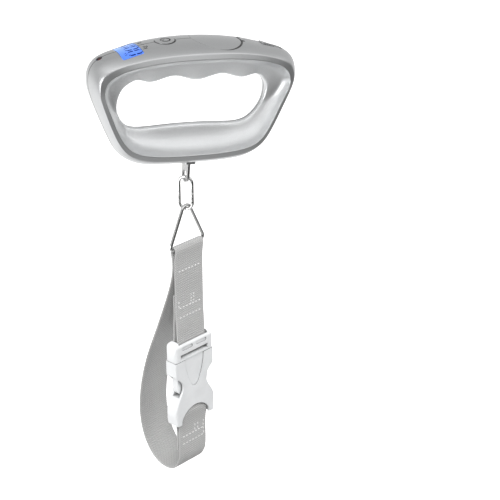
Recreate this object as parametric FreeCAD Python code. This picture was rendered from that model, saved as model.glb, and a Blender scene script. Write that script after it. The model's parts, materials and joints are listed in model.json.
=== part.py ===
"""Digital luggage scale: a ring-shaped grip with a display, and a webbing loop hung from its load cell.

Millimetres, +Z up. X runs along the grip, -Y is the front. The row origin is the point where the
fingers lift, the middle of the grip's finger edge on the load axis; shapes are drawn about DATUM and
moved down to it on export. The strap, ring and buckle are drawn plumb and then swung by SWING.
"""
import FreeCAD, Part
import math
import os

V = FreeCAD.Vector
os.makedirs("parts", exist_ok=True)

# ---- grip ring -------------------------------------------------------------------------------
GRIP_Z = 36.0            # finger edge above the drawing datum, becomes the row origin
TOP_Z = 61.1             # seam height at the middle of the grip
ARCH_2, ARCH_4 = 2.008e-3, 0.251e-6     # fall of the seam along the grip, x^2 and x^4 terms
RIDGE_FALL = 7.9         # the ridge runs this far below the seam along the top
RIDGE_HALF = 20.7        # half width of the grip over the ridges, at the middle
EDGE_MEAN, EDGE_WAVE, FINGER_PITCH = 37.1, 1.6, 31.0    # finger grooves under the top bar
WALL = 2.0
RIDGE_ROUND = 0.6        # rounding of the ridge
NOSE_TOP, NOSE_LOW = 0.34, 0.20    # half thickness of the hole's edge, share of the ridge half width
HOLE_SKEW, HOLE_MIDDLE = 0.12, 24.0     # the hole leans: x moved per mm of height from its middle height

# stations beyond the straight part of the top bar: seam x,z / ridge x,y,z / hole edge x,z
SHOULDER = [
    ((49.8, 54.9), (48.5, 16.0, 46.9), (44.3, 34.7)),
    ((57.2, 52.9), (54.0, 15.2, 44.4), (47.2, 31.4)),
    ((63.2, 49.6), (58.0, 14.2, 41.2), (48.3, 27.9)),
    ((66.7, 44.4), (60.3, 13.2, 37.2), (48.6, 24.5)),
    ((67.5, 38.0), (60.9, 12.9, 32.9), (48.4, 21.0)),
    ((66.1, 30.5), (59.7, 12.4, 27.5), (47.4, 17.4)),
    ((62.3, 20.8), (56.4, 12.2, 20.0), (45.5, 13.9)),
    ((57.0, 9.4), (51.8, 12.4, 9.5), (43.0, 10.9)),
    ((51.4, -1.8), (46.8, 13.0, 0.8), (39.7, 8.3)),
    ((45.8, -9.8), (41.0, 13.6, -4.6), (35.1, 6.8)),
    ((36.0, -15.4), (33.0, 14.1, -7.4), (28.7, 6.4)),
    ((24.0, -17.3), (22.5, 14.0, -8.9), (19.1, 6.8)),
    ((11.8, -17.7), (11.3, 14.0, -9.5), (9.6, 7.2)),
    ((0.0, -17.8), (0.0, 14.0, -9.6), (0.0, 7.3)),
]
TOP_STEP, TOP_STATIONS = 7.75, 6        # spacing of the sections along the straight part, and their count

# ---- controls on the top ----------------------------------------------------------------------
LED_X, LED_HOLE_R, LED_R = -60.6, 2.1, 1.5
LCD_X, LCD_LONG, LCD_WIDE, LCD_CORNER = -43.65, 13.9, 22.0, 1.2
BUTTON_X, BUTTON_R = -19.8, 6.05
BATTERY_X, BATTERY_R, LID_THICK = 13.4, 15.95, 1.8
SWITCH_X, SWITCH_LONG, SWITCH_WIDE = 51.2, 14.6, 7.2
KNOB_LONG = 12.4
FIT = 0.12               # gap round a piece set in a window

# ---- inside -----------------------------------------------------------------------------------
PCB_Z, PCB_THICK, PCB_X0, PCB_X1, PCB_HALF = 46.6, 1.6, -33.5, 37.5, 12.0
PCB_TOP = PCB_Z + PCB_THICK
TACT_PINS = [(x, y) for x in (-2.2, 2.2) for y in (-3.15, 3.15)]
CELL_Z, CELL_HALF, CELL_SIDE = -7.4, 27.0, 9.0
CELL_SCREW_X = 22.5
SHELL_SCREWS = [(-58.0, 27.0), (58.0, 27.0), (-36.5, -4.2), (36.5, -4.2), (0.0, 42.0)]
SCREW_R, SCREW_HEAD_R, SCREW_HEAD, HEAD_Y = 1.1, 2.3, 1.7, 5.0
COIN_R, COIN_THICK, COIN_Z = 10.0, 3.2, 53.0

# ---- hook, link and ring ------------------------------------------------------------------------
HOOK_THICK, HOOK_WIDE, HOOK_BOTTOM = 1.6, 9.2, -31.9
EYE_R, EYE_Z = 3.35, -27.45
LINK_WIRE, LINK_WIDE, LINK_LONG, LINK_TOP, LINK_GAP = 1.0, 10.6, 23.8, -27.7, 0.5
LINK_TURN = -40.0        # turn of the link's plane about the vertical
RING_WIRE, RING_WIDE, RING_APEX, RING_BAR = 1.1, 31.4, -48.15, -76.0
RING_CORNER, APEX_BEND = 2.8, 3.8
SWING = 5.3              # the hanging pieces lean this far towards +X from the grip's vertical
STRAP_TURN = 22.0        # turn of the ring, strap and buckle about the vertical

# ---- webbing and buckle ---------------------------------------------------------------------------
WEB_WIDE, WEB_THICK = 25.0, 1.4
BUCKLE_LINE = -154.5     # where the two halves of the buckle meet
BUCKLE_HALF, BUCKLE_THICK = 17.0, 9.5
HEAD_TALL, SOCKET_TALL, BUCKLE_GAP = 13.5, 47.5, 0.3
MALE_BAR_Z, SOCKET_BAR_Z, WEB_BAR_R = 6.2, -42.0, 1.7     # measured from the line
BELLY, BELLY_Z = 37.0, -208.0      # how far the loop stands off behind, and where
LOOP_BOTTOM = -242.0


# ---- helpers --------------------------------------------------------------------------------------
def box(x0, x1, y0, y1, z0, z1):
    return Part.makeBox(x1 - x0, y1 - y0, z1 - z0, V(x0, y0, z0))


def rod(radius, start, end):
    a, b = V(*start), V(*end)
    return Part.makeCylinder(radius, (b - a).Length, a, b - a)


def rounded_prism(long, wide, corner, z0, z1):
    """Upright prism about the z axis with rounded corners, long in x and wide in y."""
    block = box(-long / 2, long / 2, -wide / 2, wide / 2, z0, z1)
    upright = [e for e in block.Edges if abs(e.Vertexes[0].Z - e.Vertexes[1].Z) > 0.5 * (z1 - z0)]
    return block.makeFillet(corner, upright)


def mirrored(shape, normal):
    return shape.mirror(V(0, 0, 0), normal)


def fuse_all(shapes):
    return shapes[0].multiFuse(shapes[1:]).removeSplitter() if len(shapes) > 1 else shapes[0]


def smooth_plate(points, y0, y1, corners=()):
    """Plate between y0 and y1. Its outline is a closed run of (x, z) points, straight between them
    except that the spans listed in corners are one smooth curve: (first, last) point numbers."""
    spans, i, n = [], 0, len(points)
    starts = {a: b for a, b in corners}
    while i < n:
        if i in starts:
            curve = Part.BSplineCurve()
            curve.interpolate([V(x, y0, z) for x, z in points[i:starts[i] + 1]])
            spans.append(curve.toShape())
            i = starts[i]
        else:
            x0, z0 = points[i]
            x1, z1 = points[(i + 1) % n]
            spans.append(Part.makeLine(V(x0, y0, z0), V(x1, y0, z1)))
            i += 1
        if i == n - 1 and n - 1 not in starts:
            x0, z0 = points[i]
            x1, z1 = points[0]
            spans.append(Part.makeLine(V(x0, y0, z0), V(x1, y0, z1)))
            i = n
    return Part.Face(Part.Wire(spans)).extrude(V(0, y1 - y0, 0))


def save(node, shape):
    moved = shape.copy()
    moved.translate(V(0, 0, -GRIP_Z))
    if not moved.isValid():
        print("check", node)
    moved.exportStep("parts/%s.step" % node)


# ---- the grip's skin ------------------------------------------------------------------------------
def seam_z(x):
    return TOP_Z - ARCH_2 * x ** 2 - ARCH_4 * x ** 4


def seam_tilt(x):
    """Angle in degrees by which the surface at x leans, positive towards +X."""
    return math.degrees(math.atan(2 * ARCH_2 * x + 4 * ARCH_4 * x ** 3))


def top_station(x):
    half = RIDGE_HALF - 5.2 * (abs(x) / 52.0) ** 1.8
    edge = EDGE_MEAN - EDGE_WAVE * math.cos(2 * math.pi * x / FINGER_PITCH)
    return (x, seam_z(x)), (x, half, seam_z(x) - RIDGE_FALL), (x, edge)


def skewed(station):
    """The hole leans a little: its edge moves along X with height about its middle."""
    outer, ridge, (x, z) = station
    return outer, ridge, (x + HOLE_SKEW * (z - HOLE_MIDDLE), z)


def ring_stations():
    top = [top_station(TOP_STEP * i) for i in range(1 - TOP_STATIONS, TOP_STATIONS)]
    left = [tuple((-p[0],) + tuple(p[1:]) for p in s) for s in SHOULDER[:-1]]
    return [skewed(s) for s in top + SHOULDER + left[::-1]]


def nose_share(edge_z):
    """Half thickness of the hole's edge as a share of the ridge half width: fuller where fingers grip."""
    rise = min(max((edge_z - 10.0) / 24.0, 0.0), 1.0)
    return NOSE_LOW + (NOSE_TOP - NOSE_LOW) * rise * rise * (3 - 2 * rise)


def section(station, inset, lid_y):
    """Control points across half the ring, from the outer seam over the ridge to the hole edge.
    inset moves them all inwards; lid_y is where the half section stops (0 is the parting plane)."""
    (ox, oz), (cx, cy, cz), (ex, ez) = station
    outer, edge = V(ox, 0, oz), V(ex, 0, ez)
    across = (outer - edge).normalize()
    middle = (outer + edge) * 0.5 + V(0, -0.35 * cy, 0)
    ridge = V(cx, -cy, cz)
    if inset:
        outer, edge = outer - across * inset, edge + across * inset
        ridge = ridge + (middle - ridge).normalize() * (1.35 * inset)
    y = -ridge.y
    nose = nose_share(ez)

    def at(start, end, share, depth):
        p = start + (end - start) * share
        return V(p.x, -depth * y, p.z)

    skin_in = at(outer, ridge, 0.55, 0.93)
    dish_out = at(ridge, edge, 0.20, 0.62)
    outwards, inwards = (skin_in - ridge).normalize(), (dish_out - ridge).normalize()
    return [V(outer.x, lid_y, outer.z), at(outer, ridge, 0.0, 0.32), at(outer, ridge, 0.28, 0.72),
            skin_in, ridge + outwards * 3.5, ridge + outwards * RIDGE_ROUND,
            ridge, ridge + inwards * RIDGE_ROUND, dish_out,
            at(ridge, edge, 0.52, nose + 0.13), at(ridge, edge, 0.86, nose),
            at(ridge, edge, 1.0, 0.75 * nose), V(edge.x, lid_y, edge.z)]


def half_ring(inset=0.0, lid_y=0.0):
    """Solid front half of the ring: one smooth skin closed by a flat face at y = lid_y."""
    rows = [section(s, inset, lid_y) for s in reversed(ring_stations())]
    count, across = len(rows), len(rows[0])
    rails = []
    for j in range(across):
        rail = Part.BSplineCurve()
        rail.interpolate(Points=[row[j] for row in rows], PeriodicFlag=True,
                         Parameters=[float(k) for k in range(count + 1)])
        rails.append(rail)
    poles = [[rail.getPoles()[i] for rail in rails] for i in range(rails[0].NbPoles)]
    skin = Part.BSplineSurface()
    skin.buildFromPolesMultsKnots(poles, rails[0].getMultiplicities(), [4] + [1] * (across - 4) + [4],
                                  rails[0].getKnots(), list(range(across - 2)), True, False, 3, 3)
    face = skin.toShape()
    rims = [Part.Wire([e]) for e in face.Edges if e.isClosed() and e.BoundBox.YLength < 1e-6]
    lid = Part.makeFace(rims, "Part::FaceMakerBullseye")
    return Part.Solid(Part.Shell([face, lid]))


def on_top(shape, x, raise_by=0.0):
    """Place a shape drawn about the origin on the grip's top at x, its z along the surface normal."""
    s = shape.copy()
    s.translate(V(0, 0, raise_by))
    s.rotate(V(0, 0, 0), V(0, 1, 0), seam_tilt(x))
    s.translate(V(x, 0, seam_z(x)))
    return s


def sunk(shape, x, depth):
    """The shape moved down along the surface normal at x."""
    a = math.radians(seam_tilt(x))
    s = shape.copy()
    s.translate(V(-depth * math.sin(a), 0, -depth * math.cos(a)))
    return s


FRONT = half_ring()
WHOLE = FRONT.fuse(mirrored(FRONT, V(0, 1, 0)))
HOLLOW_FRONT = half_ring(WALL, 1.0)
HOLLOW = half_ring(WALL + 0.15)
HOLLOW = HOLLOW.fuse(mirrored(HOLLOW, V(0, 1, 0)))


def inside(shape):
    """Trim a piece to the room inside the shells."""
    return shape.common(HOLLOW)


# ---- shells ---------------------------------------------------------------------------------------
def top_windows():
    return [
        on_top(rounded_prism(LCD_LONG, LCD_WIDE, LCD_CORNER, -7.5, 6), LCD_X),
        on_top(Part.makeCylinder(BUTTON_R + 0.2, 12, V(0, 0, -6)), BUTTON_X),
        on_top(Part.makeCylinder(BATTERY_R + FIT, 14, V(0, 0, -8)), BATTERY_X),
        on_top(box(14.0, 18.3, -4.6, 4.6, -8, 6), BATTERY_X),
        on_top(rounded_prism(SWITCH_LONG, SWITCH_WIDE, 1.0, -6, 6), SWITCH_X),
        on_top(Part.makeCylinder(LED_HOLE_R, 12, V(0, 0, -6)), LED_X),
    ]


def hook_opening():
    return rounded_prism(7.4, 14.4, 1.5, -24, -12)


def front_boss(x, z):
    return rod(3.1, (x, -0.05, z), (x, -24, z))


def rear_boss(x, z):
    return rod(3.1, (x, 0.05, z), (x, 24, z))


def board_ribs():
    """Ribs under the circuit board, the display frame and the switch, drawn on the front side."""
    ribs = [box(x - 0.8, x + 0.8, -24, -6.5, 40.0, PCB_Z - 0.02) for x in (-29.0, 33.5)]
    ribs.append(on_top(box(-0.8, 0.8, -24, -6.5, -16, -9.35), LCD_X))
    ribs.append(on_top(box(-0.8, 0.8, -24, -3.0, -16, -8.05), SWITCH_X))
    return ribs


def front_shell():
    body = FRONT.cut(HOLLOW_FRONT)
    extra = [front_boss(x, z) for x, z in SHELL_SCREWS] + board_ribs()
    body = body.multiFuse([e.common(FRONT) for e in extra])
    holes = [rod(SCREW_R, (x, 1, z), (x, -7, z)) for x, z in SHELL_SCREWS]
    return body.cut(Part.makeCompound(top_windows())).cut(hook_opening()).cut(Part.makeCompound(holes))


def rear_shell():
    rear = mirrored(FRONT, V(0, 1, 0))
    body = mirrored(FRONT.cut(HOLLOW_FRONT), V(0, 1, 0))
    extra = [rear_boss(x, z) for x, z in SHELL_SCREWS] + [mirrored(r, V(0, 1, 0)) for r in board_ribs()]
    cell_screws = (-CELL_SCREW_X, CELL_SCREW_X)
    extra += [rod(2.6, (x, CELL_SIDE / 2 + 0.02, CELL_Z), (x, 24, CELL_Z)) for x in cell_screws]
    body = body.multiFuse([e.common(rear) for e in extra])
    holes = []
    for x, z in SHELL_SCREWS:
        holes.append(rod(SCREW_R + 0.15, (x, -1, z), (x, 24, z)))
        holes.append(rod(SCREW_HEAD_R + 0.3, (x, HEAD_Y, z), (x, 24, z)))
    holes += [rod(SCREW_R, (x, 0, CELL_Z), (x, 9.5, CELL_Z)) for x in cell_screws]
    return body.cut(Part.makeCompound(top_windows())).cut(hook_opening()).cut(Part.makeCompound(holes))


def screw(x, z, head_y, end_y):
    """Cross-head screw along Y. The head's underside is at head_y, the tip at end_y."""
    way = 1 if head_y > end_y else -1
    head = rod(SCREW_HEAD_R, (x, head_y, z), (x, head_y + way * SCREW_HEAD, z))
    cross_y = sorted((head_y + way * (SCREW_HEAD - 1.0), head_y + way * (SCREW_HEAD + 1.0)))
    head = head.cut(box(x - 1.5, x + 1.5, cross_y[0], cross_y[1], z - 0.25, z + 0.25))
    head = head.cut(box(x - 0.25, x + 0.25, cross_y[0], cross_y[1], z - 1.5, z + 1.5))
    return head.fuse(rod(SCREW_R, (x, head_y, z), (x, end_y, z)))


# ---- display, lamp, button, switch ------------------------------------------------------------------
def lcd_lens():
    blank = on_top(rounded_prism(LCD_LONG - 2 * FIT, LCD_WIDE - 2 * FIT, LCD_CORNER - FIT, -5.1, 6), LCD_X)
    return blank.common(sunk(WHOLE, LCD_X, 0.25))


def lcd_panel():
    return on_top(box(-7.3, 7.3, -11.5, 11.5, -6.3, -5.2), LCD_X)


def lcd_backlight():
    return on_top(box(-7.3, 7.3, -11.5, 11.5, -8.4, -6.35), LCD_X)


def lcd_frame():
    tray = on_top(box(-8.3, 8.3, -12.5, 12.5, -9.3, -6.0), LCD_X)
    return inside(tray).cut(on_top(box(-7.4, 7.4, -11.6, 11.6, -8.4, -5.0), LCD_X))


def indicator_led():
    lens = Part.makeCylinder(LED_R, 3.4, V(0, 0, -4.4)).fuse(Part.makeSphere(LED_R, V(0, 0, -1.0)))
    flange = Part.makeCylinder(LED_R + 0.3, 0.8, V(0, 0, -5.2))
    legs = [Part.makeCylinder(0.25, 3.4, V(0, y, -8.6)) for y in (-0.9, 0.9)]
    return on_top(lens.multiFuse([flange] + legs), LED_X)


def power_button():
    blank = on_top(Part.makeCylinder(BUTTON_R, 12, V(0, 0, -3.1)), BUTTON_X)
    cap = blank.common(sunk(WHOLE, BUTTON_X, -0.45))
    flange = on_top(Part.makeCylinder(BUTTON_R + 1.3, 0.9, V(0, 0, -4.7)), BUTTON_X)
    neck = on_top(Part.makeCylinder(BUTTON_R - 0.4, 1.2, V(0, 0, -4.2)), BUTTON_X)
    return fuse_all([cap, neck, flange])


def tact_switch():
    base = box(-3, 3, -3, 3, 0, 3.4).cut(Part.makeCylinder(1.85, 2.4, V(0, 0, 1.0)))
    pins = [box(x - 0.35, x + 0.35, y - 0.15, y + 0.15, -PCB_THICK - 0.6, 0) for x, y in TACT_PINS]
    body = base.multiFuse(pins)
    body.translate(V(BUTTON_X, 0, PCB_TOP))
    return body


def tact_plunger():
    stem = Part.makeCylinder(1.7, 4.0, V(0, 0, 2.0))
    stem.translate(V(BUTTON_X, 0, PCB_TOP))
    return stem.common(on_top(box(-4, 4, -4, 4, -30, -4.72), BUTTON_X))


def slide_knob():
    """Ribbed thumb piece with its carriage plate; drawn at the ON end of the window."""
    shift = -(SWITCH_LONG - KNOB_LONG) / 2 + 0.05
    cap = rounded_prism(KNOB_LONG, SWITCH_WIDE - 0.3, 0.9, -2.9, 0.45)
    for i in range(7):
        groove = box(-0.45, 0.45, -5, 5, -0.1, 2)
        groove.translate(V(-4.5 + 1.5 * i, 0, 0))
        cap = cap.cut(groove)
    plate = box(-8.2, 8.2, -4.6, 4.6, -3.9, -2.9)
    peg = box(-1.0, 1.0, -1.0, 1.0, -5.6, -3.9)
    knob = fuse_all([cap, plate, peg])
    knob.translate(V(shift, 0, 0))
    return on_top(knob, SWITCH_X)


def switch_body():
    case = box(-6.6, 6.6, -2.9, 2.9, -8.0, -4.2)
    slot = box(-3.4, 3.6, -1.15, 1.15, -6.0, -4.0)
    lugs = [box(x - 0.3, x + 0.3, -0.7, 0.7, -9.6, -8.0) for x in (-4, 0, 4)]
    return on_top(case.cut(slot).multiFuse(lugs), SWITCH_X)


# ---- battery ----------------------------------------------------------------------------------------
def battery_cover():
    """Round lid that follows the crown, with a sprung tongue in the notch at its +X side."""
    blank = on_top(Part.makeCylinder(BATTERY_R, 20, V(0, 0, -10)), BATTERY_X)
    lid = blank.common(WHOLE).cut(sunk(WHOLE, BATTERY_X, LID_THICK))
    lip = box(-16.0, -14.4, -4, 4, -3.6, -1.0).common(Part.makeCylinder(BATTERY_R, 9, V(0, 0, -6)))
    skirt = on_top(lip, BATTERY_X)
    bar = rounded_prism(1.7, 7.4, 0.5, -3.0, -0.3)
    bar.translate(V(17.1, 0, 0))
    bar = on_top(bar, BATTERY_X)
    link = on_top(box(15.0, 17.0, -2.6, 2.6, -3.0, -2.0), BATTERY_X)
    riser = on_top(box(14.9, 15.7, -2.6, 2.6, -3.0, -0.9), BATTERY_X)
    return fuse_all([lid, skirt, riser, link, bar])


def battery_tray():
    base = Part.makeCylinder(15.2, 1.2, V(0, 0, 50.2))
    wall = Part.makeCylinder(COIN_R + 1.6, 4.6, V(0, 0, 51.2))
    wall = wall.cut(Part.makeCylinder(COIN_R + 0.25, 6, V(0, 0, 51.0)))
    finger_gap = box(4, 16, -4, 4, 51.4, 60)
    foot = 50.3 - PCB_TOP
    feet = [Part.makeCylinder(1.5, foot, V(x, y, PCB_TOP)) for x in (-9, 9) for y in (-9, 9)]
    tray = fuse_all([base, wall.cut(finger_gap)] + feet)
    tray.translate(V(BATTERY_X, 0, 0))
    return inside(tray)


def coin_cell():
    can = Part.makeCylinder(COIN_R, COIN_THICK - 0.4, V(BATTERY_X, 0, COIN_Z + 0.4))
    cap = Part.makeCylinder(COIN_R - 1.2, 0.5, V(BATTERY_X, 0, COIN_Z))
    rim = [e for e in can.Edges if len(e.Vertexes) == 1 and e.BoundBox.ZMin > COIN_Z + 1]
    return can.makeFillet(0.4, rim).fuse(cap)


def contact_spring():
    """Negative contact: a spring strip bowed up under the cell."""
    foot = box(-7, 7, -1.5, 1.5, 51.42, 51.67)
    tab = box(5, 6.2, -1.5, 1.5, 51.62, 52.95)
    top = box(-2, 6.2, -1.5, 1.5, 52.72, 52.97)
    strip = fuse_all([foot, tab, top])
    strip.translate(V(BATTERY_X, 0, 0))
    return strip


def contact_clip():
    """Positive contact: a clip that comes up beside the cell and over its rim."""
    over = COIN_Z + COIN_THICK + 0.03
    leg = box(-COIN_R - 2.3, -COIN_R - 1.9, -2, 2, 51.42, over + 0.3)
    lip = box(-COIN_R - 2.3, -COIN_R + 2.2, -2, 2, over, over + 0.3)
    clip = fuse_all([leg, lip])
    clip.translate(V(BATTERY_X, 0, 0))
    return clip


# ---- electronics ----------------------------------------------------------------------------------
def circuit_board():
    board = box(PCB_X0, PCB_X1, -PCB_HALF, PCB_HALF, PCB_Z, PCB_Z + PCB_THICK)
    board = inside(board)
    holes = [rod(0.5, (x + BUTTON_X, y, PCB_Z - 1), (x + BUTTON_X, y, PCB_Z + 3)) for x, y in TACT_PINS]
    return board.cut(Part.makeCompound(holes))


def board_parts():
    """Bonded chip under its epoxy blob, crystal, capacitors and the wire header."""
    low, high = PCB_Z, PCB_TOP
    blob = Part.makeSphere(8.0, V(20, 0, low + 6.2)).common(box(10, 30, -9, 9, low - 1.7, low - 0.02))
    crystal = rod(1.5, (-9, 6.6, high + 1.55), (-3, 6.6, high + 1.55))
    chips = [box(x, x + 3.2, y, y + 1.6, high + 0.02, high + 0.9) for x in (-31, -12) for y in (-8, -4)]
    header = box(31.5, 36.5, -5, 5, high + 0.02, high + 3.0)
    return Part.makeCompound([blob, crystal, header] + chips)


# ---- load cell --------------------------------------------------------------------------------------
def load_cell():
    half = CELL_SIDE / 2
    beam = box(-CELL_HALF, CELL_HALF, -half, half, CELL_Z - half, CELL_Z + half)
    cuts = []
    for s in (-1, 1):
        inner, outer = s * 9.5, s * 15.0
        cuts += [rod(2.9, (x, -9, CELL_Z), (x, 9, CELL_Z)) for x in (inner, outer)]
        cuts.append(box(min(inner, outer), max(inner, outer), -9, 9, CELL_Z - 0.6, CELL_Z + 0.6))
        cuts.append(rod(SCREW_R + 0.1, (s * CELL_SCREW_X, -9, CELL_Z), (s * CELL_SCREW_X, 9, CELL_Z)))
    cuts.append(box(-HOOK_THICK / 2 - 0.05, HOOK_THICK / 2 + 0.05, -9, 9, CELL_Z - 9, CELL_Z + 3))
    cuts.append(rod(1.25, (-6, 0, CELL_Z), (6, 0, CELL_Z)))
    return beam.cut(Part.makeCompound(cuts))


def hook_plate():
    half = HOOK_WIDE / 2
    face, low = HOOK_THICK / 2, HOOK_BOTTOM + half
    plate = box(-face, face, -half, half, low, CELL_Z + 2.6).fuse(rod(half, (-face, 0, low), (face, 0, low)))
    eye = rod(EYE_R, (-5, 0, EYE_Z), (5, 0, EYE_Z))
    return plate.cut(eye).cut(rod(1.25, (-5, 0, CELL_Z), (5, 0, CELL_Z))).removeSplitter()


def strain_gauges():
    top = CELL_Z + CELL_SIDE / 2
    return Part.makeCompound([box(x - 3, x + 3, -2.2, 2.2, top + 0.01, top + 0.16) for x in (-12.2, 12.2)])


def opening_bush():
    """Plastic bush that lines the opening the hook plate leaves by."""
    sleeve = rounded_prism(7.2, 14.2, 1.4, -17.9, -13.2)
    return sleeve.cut(rounded_prism(4.4, 11.4, 1.0, -30, 0))


def wire(points, radius):
    path = Part.BSplineCurve()
    path.interpolate([V(*p) for p in points])
    edge = path.toShape()
    start = path.getD1(path.FirstParameter)
    ring = Part.Wire([Part.Circle(start[0], start[1], radius).toShape()])
    return Part.Wire([edge]).makePipeShell([ring], True, True)


def cell_wires():
    """Four leads from the gauges, round the +X side of the ring, up to the board's header."""
    lie = CELL_Z + CELL_SIDE / 2 + 0.85
    leads = []
    for i in range(4):
        y = -1.65 + 1.1 * i
        leads.append(wire([(13 + i, y, lie), (26, y, lie + 0.3), (38, y, 1.0), (47.5, y, 7.5), (53.2, y, 18),
                           (53.8, y, 27), (53.7, y, 34), (50, y, 40), (42.5, y, 44.2),
                           (PCB_X1 + 1.3, y, PCB_TOP + 1.4)], 0.45))
    return Part.makeCompound(leads)


def lamp_wires():
    """Two leads from the indicator lamp along the display frame to the board."""
    a = math.radians(seam_tilt(LED_X))
    foot = V(LED_X - 8.6 * math.sin(a), 0, seam_z(LED_X) - 8.6 * math.cos(a))
    leads = []
    for y in (-0.9, 0.9):
        leads.append(wire([(foot.x - 0.1, y, foot.z - 0.6), (foot.x + 3.6, y, foot.z - 2.2), (-45, y, 43.2),
                           (-37.5, y, 44.0), (PCB_X0 - 0.8, y, PCB_Z + 0.6)], 0.4))
    return Part.makeCompound(leads)


# ---- hanging pieces ---------------------------------------------------------------------------------
EYE = V(0, 0, LINK_TOP - LINK_WIRE)


def hang(shape, turn):
    s = shape.copy()
    s.rotate(V(0, 0, 0), V(0, 0, 1), turn)
    s.rotate(EYE, V(0, 1, 0), -SWING)
    return s


def closed_wire_solid(edges, radius, start, direction):
    ring = Part.Wire([Part.Circle(V(*start), V(*direction), radius).toShape()])
    return Part.Wire(edges).makePipeShell([ring], True, True)


def chain_link():
    r = LINK_WIDE / 2 - LINK_WIRE
    top, low = LINK_TOP - LINK_WIRE - r, LINK_TOP - LINK_LONG + LINK_WIRE + r
    joint = (top + low) / 2
    pieces = [rod(LINK_WIRE, (-r, 0, low), (-r, 0, top)),
              rod(LINK_WIRE, (r, 0, joint + LINK_GAP / 2), (r, 0, top)),
              rod(LINK_WIRE, (r, 0, low), (r, 0, joint - LINK_GAP / 2))]
    for z, way in ((top, 1), (low, -1)):
        bend = Part.makeTorus(r, LINK_WIRE, V(0, 0, z), V(0, 1, 0))
        keep = box(-20, 20, -5, 5, z, z + 20) if way > 0 else box(-20, 20, -5, 5, z - 20, z)
        pieces.append(bend.common(keep))
    return hang(fuse_all(pieces), LINK_TURN)


def filleted_loop(corners, radii):
    """Closed wire through the corners in the XZ plane, each rounded to its radius."""
    n, cut = len(corners), []
    for i in range(n):
        p, a, b = V(*corners[i]), V(*corners[i - 1]), V(*corners[(i + 1) % n])
        da, db = (a - p).normalize(), (b - p).normalize()
        half = da.getAngle(db) / 2
        back = radii[i] / math.tan(half)
        mid = p + (da + db).normalize() * (radii[i] / math.sin(half) - radii[i])
        cut.append((p + da * back, mid, p + db * back))
    edges = []
    for i in range(n):
        start, mid, end = cut[i]
        edges.append(Part.Arc(start, mid, end).toShape())
        edges.append(Part.makeLine(end, cut[(i + 1) % n][0]))
    return edges


def triangle_ring():
    half = RING_WIDE / 2 - RING_WIRE
    lean = math.atan((half + 1.2) / (RING_APEX - RING_BAR + 5.0))
    apex = RING_APEX + APEX_BEND / math.sin(lean) - APEX_BEND
    edges = filleted_loop([(0, 0, apex), (half + 1.2, 0, RING_BAR), (-half - 1.2, 0, RING_BAR)],
                          [APEX_BEND, RING_CORNER, RING_CORNER])
    first = edges[-1].Vertexes[0].Point
    edges = edges[-1:] + edges[:-1]
    way = edges[0].Vertexes[1].Point - first
    return hang(closed_wire_solid(edges, RING_WIRE, first, way), STRAP_TURN)


# ---- webbing ----------------------------------------------------------------------------------------
def band(points, thick=WEB_THICK, wide=WEB_WIDE):
    """Webbing of even thickness along a path of (w, z) points, w pointing to the back."""
    path = Part.BSplineCurve()
    path.interpolate([V(0, w, z) for w, z in points])
    first, last = path.FirstParameter, path.LastParameter
    count = 8 * len(points)
    sides = []
    for sign in (-1, 1):
        line = []
        for i in range(count + 1):
            spot, way = path.getD1(first + (last - first) * i / count)
            normal = V(0, -way.z, way.y).normalize()
            line.append(spot + normal * (sign * thick / 2))
        curve = Part.BSplineCurve()
        curve.interpolate(line)
        sides.append(curve)
    a, b = [s.toShape() for s in sides]
    near, far = sides
    first_end = Part.makeLine(near.value(near.FirstParameter), far.value(far.FirstParameter))
    last_end = Part.makeLine(near.value(near.LastParameter), far.value(far.LastParameter))
    face = Part.Face(Part.Wire([a, last_end, b, first_end]))
    face.translate(V(-wide / 2, 0, 0))
    return face.extrude(V(wide, 0, 0))


def wrap(z, radius, start, end, steps=6):
    """Points round a bar at height z; angles in degrees from the back (+w), counter-clockwise up."""
    turns = [math.radians(start + (end - start) * i / steps) for i in range(steps + 1)]
    return [(radius * math.cos(a), z + radius * math.sin(a)) for a in turns]


PLY = WEB_THICK / 2 + 0.12
RING_WRAP = RING_WIRE + 0.15 + WEB_THICK / 2
BAR_WRAP = WEB_BAR_R + 0.1 + WEB_THICK / 2
LOOP_END_W = 12.0        # where the loop's two lengths meet at the bottom


def strap_main():
    male = BUCKLE_LINE + MALE_BAR_Z
    tail = [(PLY, -108.0), (PLY, -115.0), (PLY, -122.0), (PLY + 0.5, -132.0), (BAR_WRAP - 0.5, male + 4.2)]
    up = [(-BAR_WRAP + 0.5, male + 4.2), (-PLY - 0.5, -132.0), (-PLY, -122.0), (-PLY, -115.0), (-PLY, -106.0),
          (-PLY, -94.0), (-PLY - 0.1, -87.0), (-RING_WRAP + 0.35, RING_BAR - 4.0)]
    back = [(RING_WRAP - 0.35, RING_BAR - 4.0), (PLY + 0.1, -87.0), (PLY + 0.4, -91.0), (3.2, -100.0), (9.4, -117.5),
            (19.0, -141.0), (28.4, -164.0), (34.6, -186.0), (BELLY, BELLY_Z), (35.0, -221.5), (29.2, -233.6),
            (21.0, -240.4), (LOOP_END_W, LOOP_BOTTOM)]
    path = tail + wrap(male, BAR_WRAP, 0, -180) + up + wrap(RING_BAR, RING_WRAP, 180, 0) + back
    return hang(band(path), STRAP_TURN)


def strap_tail():
    bar = BUCKLE_LINE - BUCKLE_GAP + SOCKET_BAR_Z
    run = [(LOOP_END_W - 0.3, LOOP_BOTTOM), (6.4, -240.5), (2.2, -236.2), (-0.2, -230.5), (-PLY, -224.5),
           (-PLY, -217.5), (-PLY, -211.0), (-BAR_WRAP + 0.5, bar - 4.2)]
    fold = [(BAR_WRAP - 0.5, bar - 4.2), (PLY, -211.0), (PLY, -217.5), (PLY, -224.5)]
    return hang(band(run + wrap(bar, BAR_WRAP, 180, 0) + fold), STRAP_TURN)


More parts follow.
